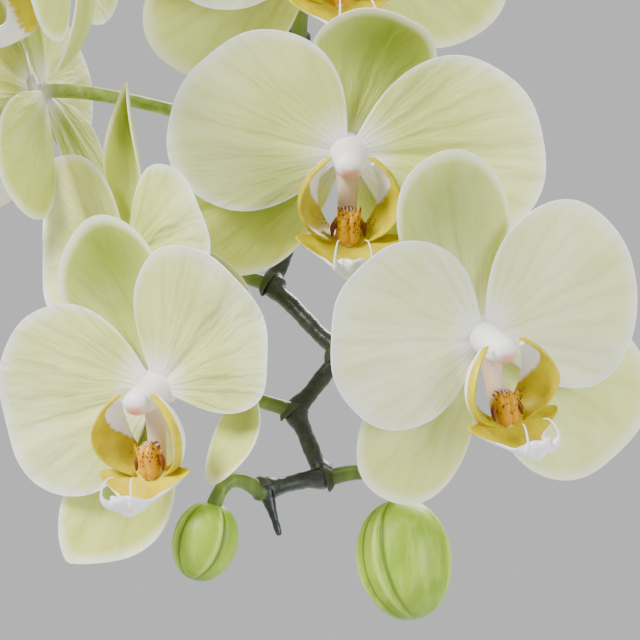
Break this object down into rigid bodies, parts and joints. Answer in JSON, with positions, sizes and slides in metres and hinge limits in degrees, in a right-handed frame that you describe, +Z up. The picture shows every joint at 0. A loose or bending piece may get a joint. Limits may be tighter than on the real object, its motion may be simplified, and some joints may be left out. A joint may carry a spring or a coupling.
{
  "type": "potted orchid",
  "caption": "Moth orchid in a clay pot: strap leaves, thick roots and one arching flower spike of pale yellow-green flowers with yellow lips, ending in hanging buds.",
  "frame": {"origin": "centre of the pot's underside, on the surface it stands on", "axes": "+Z up; +X towards the side the flower spike arches over; -Y the side most of the flowers face"},
  "size_m": [0.4318, 0.1831, 0.5573],
  "materials": {
    "clay": "matt unglazed",
    "bark": "rough",
    "root": "matt, silvery",
    "leaf": "satin",
    "spike": "satin",
    "sepal": "satin",
    "petal": "satin",
    "lip": "satin",
    "column": "satin",
    "bud": "satin"
  },
  "bodies": {
    "root": {"pot": "clay", "bark_bed": "bark", "crown_and_roots": "root", "leaf_1": "leaf", "leaf_2": "leaf", "leaf_3": "leaf", "leaf_4": "leaf", "leaf_5": "leaf", "flower_spike": "spike", "flower_1_dorsal_sepal": "sepal", "flower_1_left_lateral_sepal": "sepal", "flower_1_right_lateral_sepal": "sepal", "flower_1_left_petal": "petal", "flower_1_right_petal": "petal", "flower_1_lip": "lip", "flower_1_column_and_stalk": "column", "flower_2_dorsal_sepal": "sepal", "flower_2_left_lateral_sepal": "sepal", "flower_2_right_lateral_sepal": "sepal", "flower_2_left_petal": "petal", "flower_2_right_petal": "petal", "flower_2_lip": "lip", "flower_2_column_and_stalk": "column", "flower_3_dorsal_sepal": "sepal", "flower_3_left_lateral_sepal": "sepal", "flower_3_right_lateral_sepal": "sepal", "flower_3_left_petal": "petal", "flower_3_right_petal": "petal", "flower_3_lip": "lip", "flower_3_column_and_stalk": "column", "flower_4_dorsal_sepal": "sepal", "flower_4_left_lateral_sepal": "sepal", "flower_4_right_lateral_sepal": "sepal", "flower_4_left_petal": "petal", "flower_4_right_petal": "petal", "flower_4_lip": "lip", "flower_4_column_and_stalk": "column", "flower_5_dorsal_sepal": "sepal", "flower_5_left_lateral_sepal": "sepal", "flower_5_right_lateral_sepal": "sepal", "flower_5_left_petal": "petal", "flower_5_right_petal": "petal", "flower_5_lip": "lip", "flower_5_column_and_stalk": "column", "flower_6_dorsal_sepal": "sepal", "flower_6_left_lateral_sepal": "sepal", "flower_6_right_lateral_sepal": "sepal", "flower_6_left_petal": "petal", "flower_6_right_petal": "petal", "flower_6_lip": "lip", "flower_6_column_and_stalk": "column", "flower_7_dorsal_sepal": "sepal", "flower_7_left_lateral_sepal": "sepal", "flower_7_right_lateral_sepal": "sepal", "flower_7_left_petal": "petal", "flower_7_right_petal": "petal", "flower_7_lip": "lip", "flower_7_column_and_stalk": "column", "large_bud": "bud", "small_bud": "bud"}
  },
  "joints": []
}
